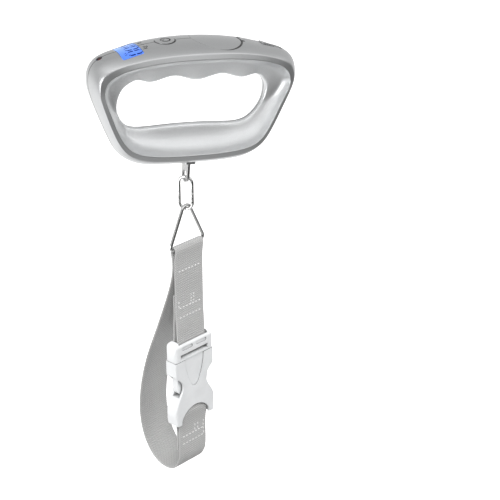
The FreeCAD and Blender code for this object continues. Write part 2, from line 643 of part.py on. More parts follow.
def stitches(w, z, tall=0.0, count=9):
    """A row of short threads lying on the webbing's face at w, along its width."""
    pitch = (WEB_WIDE - 5.0) / count
    rows = [z] if not tall else [z, z - tall]
    bits = []
    for row in rows:
        for i in range(count):
            x = -WEB_WIDE / 2 + 2.5 + pitch * (i + 0.15)
            bits.append(box(x, x + 0.7 * pitch, w, w + 0.3, row - 0.25, row + 0.25))
    return bits


def stitching_upper():
    front = -PLY - WEB_THICK / 2 - 0.32
    bits = stitches(front, -97.0) + stitches(front, -110.5, 8.5)
    return hang(Part.makeCompound(bits), STRAP_TURN)


def stitching_lower():
    front = -PLY - WEB_THICK / 2 - 0.32
    return hang(Part.makeCompound(stitches(front, -211.5, 6.5)), STRAP_TURN)


# ---- buckle -----------------------------------------------------------------------------------------
def both_sides(points):
    return points + [(-x, z) for x, z in points[::-1]]


def buckle_head():
    """Upper half of the buckle: a thick frame with the webbing bar inside it."""
    half, t = BUCKLE_HALF, BUCKLE_THICK / 2
    right = [(half, 0.0), (half + 0.3, 4.0), (half - 0.4, 8.5), (half - 1.9, 12.0), (13.4, HEAD_TALL)]
    blank = smooth_plate(both_sides(right), -t, t, ((0, 4), (5, 9)))
    head = blank.common(rounded_prism(2 * half + 0.8, 2 * t, 2.6, -1, 20))
    side_profile = smooth_plate([(-t, -1), (-t, 8.5), (-t + 1.1, 12.4), (-1.2, 13.9), (1.2, 13.9),
                                 (t - 1.1, 12.4), (t, 8.5), (t, -1)], -20, 20, ((1, 6),))
    side_profile.rotate(V(0, 0, 0), V(0, 0, 1), 90)
    head = head.common(side_profile)
    head = head.cut(box(-13.1, 13.1, -3.35, 3.35, 1.6, 30))
    for way in (-1, 1):
        y = sorted((way * 3.0, way * 6.0))
        head = head.cut(box(-12.4, 12.4, y[0], y[1], 1.6, 4.6))
        skim = sorted((way * 4.2, way * 6.0))
        for s in (-1, 1):
            slot = rounded_prism(9.6, 2.4, 1.1, skim[0], skim[1])
            slot.rotate(V(0, 0, 0), V(1, 0, 0), -90)
            slot.translate(V(s * 6.3, 0, 8.6))
            head = head.cut(slot)
        head = head.cut(box(-13.1, 13.1, y[0], y[1], 11.9, 30))
    bar = rod(WEB_BAR_R, (-13.2, 0, MALE_BAR_Z), (13.2, 0, MALE_BAR_Z))
    guide = box(-2.5, 2.5, -1.5, 1.5, -21.0, 0.5).fuse(rod(2.5, (0, -1.5, -21.0), (0, 1.5, -21.0)))
    return fuse_all([head, bar, guide.common(box(-9, 9, -2, 2, -30, 1))])


PRONG_PIVOT_X, PRONG_PIVOT_Z = 11.2, -2.0


def prong():
    """Right-hand sprung arm: slim at its root, swelling to the thumb pad that shows in the window."""
    outline = [(12.9, -2.0), (13.2, -9.0), (13.4, -12.5), (13.7, -17.0), (13.2, -22.0), (11.4, -25.5),
               (9.4, -25.0), (8.6, -21.5), (9.6, -12.0), (9.5, -2.0)]
    arm = smooth_plate(outline, -2.5, 2.5, ((0, 9),))
    knuckle = rod(1.7, (PRONG_PIVOT_X, -2.5, PRONG_PIVOT_Z), (PRONG_PIVOT_X, 2.5, PRONG_PIVOT_Z))
    return fuse_all([arm, knuckle])


def buckle_socket():
    """Lower half: a flat sleeve with side windows, a waist, and a webbing bar under a low arch."""
    half, t, top = BUCKLE_HALF, BUCKLE_THICK / 2, -BUCKLE_GAP
    right = [(half, top), (half, top - 10.5), (half - 2.6, top - 13.0), (10.6, top - 18.5),
             (11.3, top - 23.5), (14.4, top - 29.0), (half + 0.5, top - 36.5), (half + 0.9, top - 40.0),
             (half - 0.6, top - SOCKET_TALL)]
    blank = smooth_plate(both_sides(right), -t, t, ((1, 7), (10, 16)))
    body = blank.common(rounded_prism(2 * half + 2.4, 2 * t, 2.2, top - 60, 5))
    body = body.cut(box(-14.6, 14.6, -2.9, 2.9, top - 27.5, 5))
    body = body.cut(box(-13.2, 13.2, -3.5, 3.5, top - 60, top - 37.0))
    window = box(14.0, 30, -2.9, 2.9, top - 27.5, top - 10.5)
    body = body.cut(window).cut(mirrored(window, V(1, 0, 0)))
    arch = [(12.6, top - 60), (12.6, top - 45.0), (9.8, top - 40.6), (5.4, top - 37.6), (0.0, top - 36.4)]
    arch = arch + [(-x, z) for x, z in arch[-2::-1]]
    body = body.cut(smooth_plate(arch, -10, 10, ((1, 7),)))
    tongue = both_sides([(8.6, top + 1), (8.6, top), (7.6, top - 8.0), (4.6, top - 17.0), (1.4, top - 21.6)])
    dip = smooth_plate(tongue, -t - 1, -t + 0.7, ((1, 8),))
    body = body.cut(dip).cut(mirrored(dip, V(0, 1, 0)))
    bar_z = top + SOCKET_BAR_Z
    return fuse_all([body, rod(WEB_BAR_R, (-13.4, 0, bar_z), (13.4, 0, bar_z))])


def at_line(shape):
    s = shape.copy()
    s.translate(V(0, 0, BUCKLE_LINE))
    return hang(s, STRAP_TURN)


# ---- build ------------------------------------------------------------------------------------------
def build():
    save("front_shell", front_shell())
    save("rear_shell", rear_shell())
    for i, (x, z) in enumerate(SHELL_SCREWS):
        save("shell_screw_%d" % (i + 1), screw(x, z, HEAD_Y, -5.5))
    save("opening_bush", opening_bush())
    save("lcd_lens", lcd_lens())
    save("lcd_panel", lcd_panel())
    save("lcd_backlight", lcd_backlight())
    save("lcd_frame", lcd_frame())
    save("indicator_led", indicator_led())
    save("power_button", power_button())
    save("tact_plunger", tact_plunger())
    save("tact_switch", tact_switch())
    save("switch_knob", slide_knob())
    save("switch_body", switch_body())
    save("battery_cover", battery_cover())
    save("battery_tray", battery_tray())
    save("coin_cell", coin_cell())
    save("contact_spring", contact_spring())
    save("contact_clip", contact_clip())
    save("circuit_board", circuit_board())
    save("board_parts", board_parts())
    save("load_cell", load_cell())
    save("strain_gauges", strain_gauges())
    for name, x in (("cell_screw_left", -CELL_SCREW_X), ("cell_screw_right", CELL_SCREW_X)):
        save(name, screw(x, CELL_Z, -CELL_SIDE / 2, 9.0))
    save("cell_wires", cell_wires())
    save("lamp_wires", lamp_wires())
    save("hook_plate", hook_plate())
    save("hook_pin", rod(1.25, (-5.5, 0, CELL_Z), (5.5, 0, CELL_Z)))
    save("chain_link", chain_link())
    save("triangle_ring", triangle_ring())
    save("strap_main", strap_main())
    save("strap_tail", strap_tail())
    save("stitching_upper", stitching_upper())
    save("stitching_lower", stitching_lower())
    save("buckle_head", at_line(buckle_head()))
    save("prong_right", at_line(prong()))
    save("prong_left", at_line(mirrored(prong(), V(1, 0, 0))))
    save("buckle_socket", at_line(buckle_socket()))


build()
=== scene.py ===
import json
import math

import bpy
import numpy as np
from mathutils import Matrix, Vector
from mathutils.bvhtree import BVHTree


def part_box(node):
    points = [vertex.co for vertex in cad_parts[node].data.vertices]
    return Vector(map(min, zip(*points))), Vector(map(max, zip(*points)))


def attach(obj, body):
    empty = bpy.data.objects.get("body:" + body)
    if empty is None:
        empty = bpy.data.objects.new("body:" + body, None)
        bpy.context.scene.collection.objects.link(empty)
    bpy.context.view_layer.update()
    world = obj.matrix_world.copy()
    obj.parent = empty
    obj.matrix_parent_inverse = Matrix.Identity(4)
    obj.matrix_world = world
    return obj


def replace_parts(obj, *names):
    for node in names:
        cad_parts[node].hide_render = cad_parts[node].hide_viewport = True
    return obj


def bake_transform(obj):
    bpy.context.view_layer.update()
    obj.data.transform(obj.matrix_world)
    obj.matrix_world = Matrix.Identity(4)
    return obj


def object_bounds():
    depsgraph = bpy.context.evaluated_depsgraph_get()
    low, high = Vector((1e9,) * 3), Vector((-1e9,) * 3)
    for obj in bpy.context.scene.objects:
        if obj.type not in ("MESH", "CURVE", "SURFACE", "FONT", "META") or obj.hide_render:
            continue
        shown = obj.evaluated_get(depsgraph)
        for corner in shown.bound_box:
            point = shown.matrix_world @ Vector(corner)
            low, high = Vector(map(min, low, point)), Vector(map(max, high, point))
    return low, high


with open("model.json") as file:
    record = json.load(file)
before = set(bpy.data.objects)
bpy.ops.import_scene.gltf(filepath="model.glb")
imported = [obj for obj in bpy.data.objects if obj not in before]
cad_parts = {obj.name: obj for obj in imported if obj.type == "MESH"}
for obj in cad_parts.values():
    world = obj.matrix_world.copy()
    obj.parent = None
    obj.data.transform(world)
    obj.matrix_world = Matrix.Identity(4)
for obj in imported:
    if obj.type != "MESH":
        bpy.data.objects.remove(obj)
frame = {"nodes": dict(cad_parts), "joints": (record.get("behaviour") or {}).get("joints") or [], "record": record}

cad_low, cad_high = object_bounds()
NODES = frame["nodes"]
JOINTS = {j["name"]: j for j in frame["joints"]}
SLOT_OF = {s["node"]: s["material_slot"] for s in frame["record"]["subparts"]}
MM = 0.001

# ---- webbing -------------------------------------------------------------------------------------
WEB_WIDE, WEB_THICK = 25.0, 1.4
RIB_PITCH, RIB_DEPTH = 1.65, 0.22       # ribs across the webbing
RIB_SAMPLES = 8                         # mesh rows to one rib
YARN = 0.80                             # width of one warp yarn
PLY = WEB_THICK / 2 + 0.12              # centre of each of two plies lying together
RING_WRAP, BAR_WRAP = 1.95, 2.5         # centre line round the ring's bar and round the buckle's bars
PIVOT_BELOW_LINE = 2.0                  # prong pivots, below the line where the buckle's halves meet
HEAD_BAR, SOCKET_BAR = 6.2, -42.3       # webbing bars, from that line

# ---- thread --------------------------------------------------------------------------------------
STITCH_LONG, STITCH_GAP, STITCH_R = 1.9, 0.8, 0.36
SEAM_INSET = 2.6                        # ends of the cross seams, in from the webbing's edges
SEAM_SIGHTS = (-9.0, 6.0)               # where the rays for the front and the back face start, in front and behind

# ---- marks ---------------------------------------------------------------------------------------
SHEET_ABOVE = 14.0                      # rays for the marks start this far above their sheet
INK_LIFT, SEGMENT_LIFT = 0.03, 0.02     # print and display segments, above the surface
DIGIT_WIDE, DIGIT_TALL, SEGMENT_THICK = 4.0, 7.6, 1.15
DIGIT_LEFTS = (-9.3, -3.1, 3.6)         # left edges of the three digits
DIGITS_BELOW = 1.4                      # digits sit below the window's middle
POINT_X, POINT_R = 2.3, 0.55            # decimal point
UNIT_FLAGS = (-7.2, -5.4)               # small unit flags above the digits
POWER_R, POWER_THICK, POWER_STEPS = 2.9, 0.95, 30
POWER_GAP = math.radians(32)            # half of the gap in the power symbol's ring
UNIT_SIZE, SWITCH_SIZE = 4.2, 2.6       # heights of the letters
UNITS_BEYOND = 10.1                     # unit marks, from the display's middle towards the button
UNITS_AT, ON_AT, OFF_AT = (-0.7, 0.3), (7.4, 4.6), (7.5, -6.4)  # middles of the words on their sheets


# ---- shader helpers ------------------------------------------------------------------------------
class Paint:
    """A node material under construction: add nodes, join sockets, read values from them."""

    def __init__(self, name):
        self.material = bpy.data.materials.new(name)
        self.material.use_nodes = True
        self.tree = self.material.node_tree
        self.body = self.tree.nodes["Principled BSDF"]

    def node(self, kind, inputs=None, **settings):
        made = self.tree.nodes.new(kind)
        for key, value in settings.items():
            setattr(made, key, value)
        for key, value in (inputs or {}).items():
            self.put(made.inputs[key], value)
        return made

    def put(self, socket, value):
        if isinstance(value, bpy.types.NodeSocket):
            self.tree.links.new(value, socket)
        else:
            socket.default_value = value

    def set(self, **values):
        for key, value in values.items():
            self.put(self.body.inputs[key.replace("_", " ")], value)

    def place(self):
        """Position carried by the piece itself, so its pattern moves with it."""
        return self.node("ShaderNodeTexCoord").outputs["Object"]

    def noise(self, scale, detail=3.0, vector=None, roughness=0.5):
        made = self.node("ShaderNodeTexNoise", {"Scale": scale, "Detail": detail, "Roughness": roughness,
                                                "Vector": vector or self.place()})
        return made.outputs["Fac"]

    def math(self, operation, a, b=0.0, clamp=False):
        made = self.node("ShaderNodeMath", {0: a, 1: b}, operation=operation, use_clamp=clamp)
        return made.outputs[0]

    def span(self, value, low, high, to_low=0.0, to_high=1.0, smooth=False):
        made = self.node("ShaderNodeMapRange", {"Value": value, "From Min": low, "From Max": high,
                                                "To Min": to_low, "To Max": to_high},
                         interpolation_type="SMOOTHSTEP" if smooth else "LINEAR")
        return made.outputs["Result"]

    def mix(self, share, a, b):
        made = self.node("ShaderNodeMix", data_type="RGBA")
        self.put(made.inputs["Factor"], share)
        self.put(made.inputs["A"], a)
        self.put(made.inputs["B"], b)
        return made.outputs["Result"]

    def bump(self, height, distance, strength=1.0, normal=None):
        made = self.node("ShaderNodeBump", {"Height": height, "Distance": distance, "Strength": strength})
        if normal is not None:
            self.put(made.inputs["Normal"], normal)
        return made.outputs["Normal"]

    def crevice_shade(self, reach, deepest=0.25):
        """Painted shade for gaps and inside corners: 1 in the open, down to deepest where walls close in."""
        made = self.node("ShaderNodeAmbientOcclusion", {"Distance": reach * MM}, samples=8)
        return self.span(made.outputs["AO"], 0.25, 0.85, deepest, 1.0)

    # Multiplies a colour by a painted shade factor.
    def shaded(self, colour, shade):
        made = self.node("ShaderNodeMix", data_type="RGBA", blend_type="MULTIPLY")
        self.put(made.inputs["Factor"], 1.0)
        self.put(made.inputs["A"], colour)
        self.put(made.inputs["B"], shade)
        return made.outputs["Result"]

    def soft_edges(self, radius):
        return self.node("ShaderNodeBevel", {"Radius": radius * MM}, samples=4).outputs["Normal"]

    def axis(self, name, vector=None):
        made = self.node("ShaderNodeSeparateXYZ", {"Vector": vector or self.place()})
        return made.outputs[name]


def grey(value, tint=(1.0, 1.0, 1.0)):
    return (value * tint[0], value * tint[1], value * tint[2], 1.0)


# ---- materials -----------------------------------------------------------------------------------
GAP_SHADOW_RADII = {"power_button": 6.70, "battery_cover": 16.40}      # outer radius of the painted shadow ring in the gap round each
GAP_SHADOW_FADE = 0.12         # soft edge of those painted shadow rings
LENS_BORDER, LENS_FADE = 0.40, 0.15     # dark print round the display's window, and its soft edge
SEAM_HALF = 0.38        # half width of the line where the grip's two shells meet
COOL = (0.985, 1.0, 1.01)
WARM = (1.0, 1.0, 0.99)
BRASSY = (1.05, 1.0, 0.88)


def round_gap_shadow(p, node):
    """Mask of the painted shadow ring in the gap round a circular piece set in the grip's top."""
    low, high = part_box(node)
    dx = p.math("SUBTRACT", p.axis("X"), (low.x + high.x) / 2)
    away = p.math("SQRT", p.math("ADD", p.math("MULTIPLY", dx, dx), p.math("MULTIPLY", p.axis("Y"), p.axis("Y"))))
    ring = p.span(away, GAP_SHADOW_RADII[node] * MM, (GAP_SHADOW_RADII[node] - GAP_SHADOW_FADE) * MM)
    return p.math("MULTIPLY", ring, p.math("GREATER_THAN", p.axis("Z"), low.z))


def shell_paint():
    """Satin silver paint with fine flake, a dark parting line at the middle, painted shadow rings in the gaps
    round the button and the battery cover, painted shade in gaps and inside corners, and faint handling marks.
    """
    p = Paint("shell_paint")
    flake = p.noise(5200.0, 1.0)
    cloud = p.noise(60.0, 4.0)
    base = p.mix(p.span(flake, 0.35, 0.65), grey(0.60, COOL), grey(0.68, COOL))
    off_middle = p.math("ABSOLUTE", p.axis("Y"))
    seam_and_gap_shadow = p.span(off_middle, SEAM_HALF * MM, 0.6 * SEAM_HALF * MM, smooth=True)
    # painted shadow: dark rings in the gaps round the button and the battery cover join the parting line's mask
    for node in GAP_SHADOW_RADII:
        seam_and_gap_shadow = p.math("MAXIMUM", seam_and_gap_shadow, round_gap_shadow(p, node))
    # painted shade: the colour darkens in gaps and inside corners
    p.set(Base_Color=p.shaded(p.mix(seam_and_gap_shadow, base, grey(0.03)), p.crevice_shade(1.2)),
          Metallic=p.span(seam_and_gap_shadow, 0.0, 1.0, 0.88, 0.0), Roughness=p.span(cloud, 0.3, 0.7, 0.30, 0.37),
          Normal=p.bump(flake, 0.02 * MM, 0.25, p.bump(p.math("MULTIPLY", seam_and_gap_shadow, -1.0), 0.25 * MM)))
    p.body.inputs["Coat Weight"].default_value = 0.25
    p.body.inputs["Coat Roughness"].default_value = 0.12
    return p.material


def button_paint():
    """The shell's silver without its parting line, for the pieces set in the grip, with painted shade in gaps and
    inside corners.
    """
    p = Paint("button_paint")
    flake = p.noise(5200.0, 1.0)
    base = p.mix(p.span(flake, 0.35, 0.65), grey(0.62, COOL), grey(0.70, COOL))
    # painted shade: the colour darkens in gaps and inside corners
    p.set(Base_Color=p.shaded(base, p.crevice_shade(1.2)), Metallic=0.88,
          Roughness=p.span(p.noise(90.0), 0.3, 0.7, 0.28, 0.36), Normal=p.soft_edges(0.25))
    return p.material


def chrome():
    """Bright plating with faint haze."""
    p = Paint("chrome")
    haze = p.noise(180.0, 5.0)
    p.set(Base_Color=p.mix(p.span(haze, 0.4, 0.7), grey(0.90), grey(0.80, WARM)), Metallic=1.0,
          Roughness=p.span(haze, 0.35, 0.7, 0.05, 0.13), Normal=p.bump(p.noise(900.0, 2.0), 0.01 * MM, 0.3))
    return p.material


def steel():
    """Plated steel with a fine brushed grain along the part's height."""
    p = Paint("steel")
    stretched = p.node("ShaderNodeMapping", {"Vector": p.place(), "Scale": (2600.0, 2600.0, 120.0)})
    grain = p.noise(1.0, 4.0, stretched.outputs["Vector"])
    p.set(Base_Color=p.mix(p.span(grain, 0.3, 0.7), grey(0.50), grey(0.72)), Metallic=1.0,
          Roughness=p.span(grain, 0.3, 0.7, 0.22, 0.38), Normal=p.bump(grain, 0.01 * MM, 0.4, p.soft_edges(0.2)))
    return p.material


def buckle_plastic():
    """Pale silver-white moulding with softened edges, faint flow marks and deep painted shade in its gaps and
    along its recess edges.
    """
    p = Paint("buckle")
    flow = p.noise(110.0, 4.0)
    base = p.mix(p.span(flow, 0.35, 0.65), grey(0.86, COOL), grey(0.91, COOL))
    # painted shade: the colour darkens in gaps and recesses, down to 0.12 of the base
    p.set(Base_Color=p.shaded(base, p.crevice_shade(3.0, 0.12)), Metallic=0.1,
          Roughness=p.span(flow, 0.3, 0.7, 0.30, 0.42),
          Normal=p.bump(p.noise(2400.0, 2.0), 0.01 * MM, 0.25, p.soft_edges(0.55)))
    return p.material


def webbing():
    """Ribbed weave: warp yarns along the strap pass over and under each rib, a column apart, with painted shade in
    the hollows between the yarns.
    """
    p = Paint("webbing")
    uv = p.node("ShaderNodeUVMap", uv_map="Weave").outputs["UV"]
    across, along = p.axis("X", uv), p.axis("Y", uv)
    columns = p.math("MULTIPLY", across, 100.0 / YARN)
    ribs = p.math("MULTIPLY", along, 100.0 / RIB_PITCH)
    odd = p.math("MODULO", p.math("FLOOR", columns), 2.0)
    over = p.math("SINE", p.math("MULTIPLY", p.math("ADD", ribs, p.math("MULTIPLY", odd, 0.5)), 2 * math.pi))
    yarn = p.math("ABSOLUTE", p.math("SINE", p.math("MULTIPLY", columns, math.pi)))
    lump = p.math("MULTIPLY", p.span(over, -1.0, 1.0, 0.35, 1.0), yarn)
    fibre = p.noise(3800.0, 2.0)
    light = p.mix(p.span(p.noise(45.0, 3.0), 0.3, 0.7), grey(0.56, WARM), grey(0.62, WARM))
    # painted shade: the colour darkens to 0.22 in the hollows between yarns and where a yarn dips under a rib
    shade = p.mix(p.span(lump, 0.0, 0.75), grey(0.22, WARM), light)
    p.set(Base_Color=p.mix(p.span(fibre, 0.3, 0.9, 0.0, 0.35), shade, grey(0.78, WARM)), Roughness=0.72,
          Normal=p.bump(lump, 0.11 * MM, 0.7, p.bump(fibre, 0.02 * MM, 0.4)))
    p.body.inputs["Sheen Weight"].default_value = 0.25
    p.body.inputs["Sheen Roughness"].default_value = 0.45
    return p.material


def thread():
    """Twisted sewing thread, paler than the webbing."""
    p = Paint("thread")
    twist = p.node("ShaderNodeTexWave", {"Vector": p.place(), "Scale": 900.0, "Distortion": 1.0})
    p.set(Base_Color=p.mix(twist.outputs["Fac"], grey(0.80, WARM), grey(0.92, WARM)), Roughness=0.6,
          Normal=p.bump(twist.outputs["Fac"], 0.04 * MM, 0.6))
    p.body.inputs["Sheen Weight"].default_value = 0.3
    return p.material


def lens():
    """Lit window: blue light fills the moulded block up to its face, paler at the far end, dark at its rim."""
    p = Paint("lens")
    low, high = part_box("lcd_lens")
    from_ends = p.math("MINIMUM", p.math("SUBTRACT", p.axis("X"), low.x), p.math("SUBTRACT", high.x, p.axis("X")))
    from_sides = p.math("MINIMUM", p.math("SUBTRACT", p.axis("Y"), low.y), p.math("SUBTRACT", high.y, p.axis("Y")))
    border = p.span(p.math("MINIMUM", from_ends, from_sides), LENS_BORDER * MM, (LENS_BORDER - LENS_FADE) * MM)
    far = p.span(p.axis("Y"), low.y, high.y, smooth=True)
    blue = p.mix(far, (0.10, 0.26, 0.98, 1.0), (0.34, 0.56, 1.0, 1.0))
    cloudy = p.mix(p.span(p.noise(120.0, 2.0), 0.3, 0.7, 0.0, 0.25), blue, (0.20, 0.42, 1.0, 1.0))
    p.set(Base_Color=p.mix(border, (0.03, 0.06, 0.25, 1.0), grey(0.015)), IOR=1.5,
          Roughness=p.span(p.noise(70.0, 4.0), 0.3, 0.7, 0.05, 0.10),
          Emission_Color=p.mix(border, cloudy, grey(0.0)), Emission_Strength=0.85, Specular_IOR_Level=0.25)
    return p.material


def display():
    """Blue panel under the window, with its pixels' faint grid."""
    p = Paint("display")
    grid = p.node("ShaderNodeTexBrick", {"Vector": p.place(), "Scale": 900.0, "Mortar Size": 0.02,
                                         "Color1": (0.10, 0.26, 0.95, 1.0), "Color2": (0.12, 0.29, 0.98, 1.0),
                                         "Mortar": (0.05, 0.14, 0.60, 1.0)})
    p.set(Base_Color=(0.02, 0.05, 0.25, 1.0), Roughness=0.35, Emission_Color=grid.outputs["Color"],
          Emission_Strength=0.8)
    return p.material


def glow():
    """Light guide: pale dots on blue."""
    p = Paint("glow")
    dots = p.node("ShaderNodeTexVoronoi", {"Vector": p.place(), "Scale": 700.0})
    share = p.span(dots.outputs["Distance"], 0.1, 0.5)
    p.set(Base_Color=p.mix(share, (0.75, 0.85, 1.0, 1.0), (0.25, 0.5, 1.0, 1.0)), Roughness=0.3)
    return p.material


def moulded(name, low, high, roughness=0.5, edge=0.2):
    """Moulded plastic: two near shades, fine grain and softened edges."""
    p = Paint(name)
    grain = p.noise(1500.0, 3.0)
    p.set(Base_Color=p.mix(p.span(p.noise(160.0), 0.35, 0.65), low, high),
          Roughness=p.span(grain, 0.3, 0.7, roughness - 0.06, roughness + 0.06),
          Normal=p.bump(grain, 0.015 * MM, 0.35, p.soft_edges(edge)))
    return p.material


def metal(name, low, high, roughness=0.3):
    """Bare or plated metal: two near shades, clouded roughness and softened edges."""
    p = Paint(name)
    grain = p.noise(420.0, 5.0)
    p.set(Base_Color=p.mix(p.span(grain, 0.3, 0.7), low, high), Metallic=1.0,
          Roughness=p.span(grain, 0.3, 0.7, roughness - 0.07, roughness + 0.08), Normal=p.soft_edges(0.15))
    return p.material


def lamp():
    """Unlit red lamp: a red heart where the dome faces the view, with painted shade turning it nearly black
    towards its outline.
    """
    p = Paint("lamp")
    # painted shade: darker as the surface turns away from the view
    facing = p.node("ShaderNodeLayerWeight", {"Blend": 0.3}).outputs["Facing"]
    heart = p.mix(p.noise(900.0), (0.10, 0.004, 0.004, 1.0), (0.14, 0.006, 0.005, 1.0))
    p.set(Base_Color=p.mix(facing, heart, (0.012, 0.002, 0.002, 1.0)), Roughness=0.22)
    return p.material


def board():
    """Solder mask with copper tracks showing through as paler lines."""
    p = Paint("board")
    tracks = p.node("ShaderNodeTexBrick", {"Vector": p.place(), "Scale": 260.0, "Mortar Size": 0.04,
                                           "Color1": (0.02, 0.11, 0.05, 1.0), "Color2": (0.015, 0.09, 0.04, 1.0),
                                           "Mortar": (0.06, 0.24, 0.10, 1.0)})
    p.set(Base_Color=tracks.outputs["Color"], Roughness=0.35, Normal=p.bump(tracks.outputs["Fac"], 0.03 * MM, 0.5))
    return p.material


def ink(name, value):
    """Printed mark, a little worn."""
    p = Paint(name)
    p.set(Base_Color=p.mix(p.span(p.noise(1400.0), 0.55, 0.75), value, grey(0.10)), Roughness=0.55)
    return p.material


def segment_ink():
    """Display segments: nearly black, with a little of the blue light through them."""
    p = Paint("segments")
    p.set(Base_Color=p.mix(p.noise(500.0), (0.0, 0.006, 0.05, 1.0), (0.0, 0.01, 0.08, 1.0)), Roughness=0.5,
          Emission_Color=(0.0, 0.01, 0.20, 1.0), Emission_Strength=0.5, Specular_IOR_Level=0.1)
    return p.material


MATERIALS = {
    "shell_paint": shell_paint(), "button_paint": button_paint(), "chrome": chrome(), "steel": steel(),
    "buckle": buckle_plastic(), "webbing": webbing(), "thread": thread(), "lens": lens(),
    "display": display(), "glow": glow(), "lamp": lamp(), "board": board(),
    "dark_plastic": moulded("dark_plastic", grey(0.012), grey(0.022)),
    "parts": moulded("parts", grey(0.008), grey(0.02), 0.4),
    "gauge": moulded("gauge", (0.50, 0.27, 0.07, 1.0), (0.62, 0.36, 0.10, 1.0), 0.35),
    "wire": moulded("wire", (0.30, 0.015, 0.015, 1.0), (0.38, 0.02, 0.02, 1.0), 0.4),
    "cell_can": metal("cell_can", grey(0.62), grey(0.74), 0.24),
    "spring_metal": metal("spring_metal", grey(0.60, BRASSY), grey(0.70, BRASSY)),
    "alloy": metal("alloy", grey(0.60), grey(0.70), 0.34),
}
SEGMENTS = segment_ink()
PRINT = ink("print", grey(0.02))


def dress(obj, material):
    obj.data.materials.clear()
    obj.data.materials.append(material)


for node, thing in NODES.items():
    dress(thing, MATERIALS[SLOT_OF[node]])
for node in ("opening_bush", "battery_cover"):                  # shell's silver, without the parting line
    dress(NODES[node], MATERIALS["button_paint"])


# ---- the strap's own frame -----------------------------------------------------------------------
BAR = Vector(JOINTS["strap_swing"]["pos_m"])                    # middle of the ring's bar
ACROSS = Vector(JOINTS["strap_swing"]["axis"]).normalized()
DOWN = Vector(JOINTS["buckle_release"]["axis"]).normalized()
BACK = ACROSS.cross(DOWN).normalized()


def hung(u, w, z):
    """Row-frame point of (across, back, up) millimetres from the middle of the ring's bar."""
    return BAR + (ACROSS * u + BACK * w - DOWN * z) * MM


def height_of(point):
    return -(Vector(point) - BAR).dot(DOWN) / MM


LINE = height_of(JOINTS["prong_squeeze"]["pos_m"]) + PIVOT_BELOW_LINE
HEAD_Z, SOCKET_Z = LINE + HEAD_BAR, LINE + SOCKET_BAR


def new_piece(name, vertices, faces, material, body=None):
    mesh = bpy.data.meshes.new(name)
    mesh.from_pydata([tuple(v) for v in vertices], [], faces)
    mesh.polygons.foreach_set("use_smooth", [True] * len(mesh.polygons))
    mesh.update()
    obj = bpy.data.objects.new(name, mesh)
    bpy.context.scene.collection.objects.link(obj)
    dress(obj, material)
    if body:
        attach(obj, body)
    return obj


# ---- webbing -------------------------------------------------------------------------------------
def arc(z, radius, start, end, steps=8):
    """Centre-line points round a bar at height z, angles in degrees from the back."""
    turns = [math.radians(start + (end - start) * i / steps) for i in range(steps + 1)]
    return [(radius * math.cos(a), z + radius * math.sin(a)) for a in turns]


def strap_path():
    """(back, up) points of the whole strap: folded end, buckle head, ring, belly, loop end, socket, folded end."""
    end = [(PLY, -32.0), (PLY, -39.0), (PLY, -46.0), (PLY + 0.5, -56.0), (BAR_WRAP - 0.5, HEAD_Z + 4.2)]
    up = [(-BAR_WRAP + 0.5, HEAD_Z + 4.2), (-PLY - 0.5, -56.0), (-PLY, -46.0), (-PLY, -39.0), (-PLY, -30.0),
          (-PLY, -18.0), (-PLY - 0.1, -11.0), (-RING_WRAP + 0.35, -4.0)]
    belly = [(RING_WRAP - 0.35, -4.0), (PLY + 0.1, -11.0), (PLY + 0.4, -15.0), (3.2, -24.0), (9.4, -41.5),
             (19.0, -65.0), (28.4, -88.0), (34.6, -110.0), (37.0, -132.0), (35.0, -145.5), (29.2, -157.6),
             (21.0, -164.4), (12.0, -166.0), (6.4, -164.5), (2.2, -160.2), (-0.2, -154.5), (-PLY, -148.5)]
    lower = [(-PLY, -141.5), (-PLY, -135.0), (-BAR_WRAP + 0.5, SOCKET_Z - 4.2)]
    fold = [(BAR_WRAP - 0.5, SOCKET_Z - 4.2), (PLY, -135.0), (PLY, -141.5), (PLY, -148.5)]
    return (end + arc(HEAD_Z, BAR_WRAP, 0, -180) + up + arc(0.0, RING_WRAP, 180, 0) + belly + lower
            + arc(SOCKET_Z, BAR_WRAP, 180, 0) + fold)


def natural_spline(points, step):
    """Smooth curve through the points, sampled about every step along its length."""
    p = np.array(points, float)
    gap = np.linalg.norm(np.diff(p, axis=0), axis=1)
    t = np.concatenate([[0.0], np.cumsum(gap)])
    n = len(p)
    matrix, right = np.zeros((n, n)), np.zeros((n, 2))
    matrix[0, 0] = matrix[-1, -1] = 1.0
    slope = np.diff(p, axis=0) / gap[:, None]
    for i in range(1, n - 1):
        matrix[i, i - 1:i + 2] = gap[i - 1], 2 * (gap[i - 1] + gap[i]), gap[i]
        right[i] = 6 * (slope[i] - slope[i - 1])
    bend = np.linalg.solve(matrix, right)
    fine = np.linspace(0, t[-1], int(t[-1] / 0.05))
    k = np.clip(np.searchsorted(t, fine, side="right") - 1, 0, n - 2)
    a, b, h = (t[k + 1] - fine)[:, None], (fine - t[k])[:, None], gap[k][:, None]
    curve = (bend[k] * a ** 3 + bend[k + 1] * b ** 3) / (6 * h)
    curve += (p[k] / h - bend[k] * h / 6) * a + (p[k + 1] / h - bend[k + 1] * h / 6) * b
    length = np.concatenate([[0.0], np.cumsum(np.linalg.norm(np.diff(curve, axis=0), axis=1))])
    even = np.arange(0, length[-1], step)
    return even, np.stack([np.interp(even, length, curve[:, i]) for i in (0, 1)], axis=1)


STATIONS, CENTRE = natural_spline(strap_path(), RIB_PITCH / RIB_SAMPLES)
TANGENT = np.gradient(CENTRE, axis=0)
TANGENT /= np.linalg.norm(TANGENT, axis=1)[:, None]
NORMAL = np.stack([-TANGENT[:, 1], TANGENT[:, 0]], axis=1)
EDGE_STEPS, FACE_STEPS = 5, 12


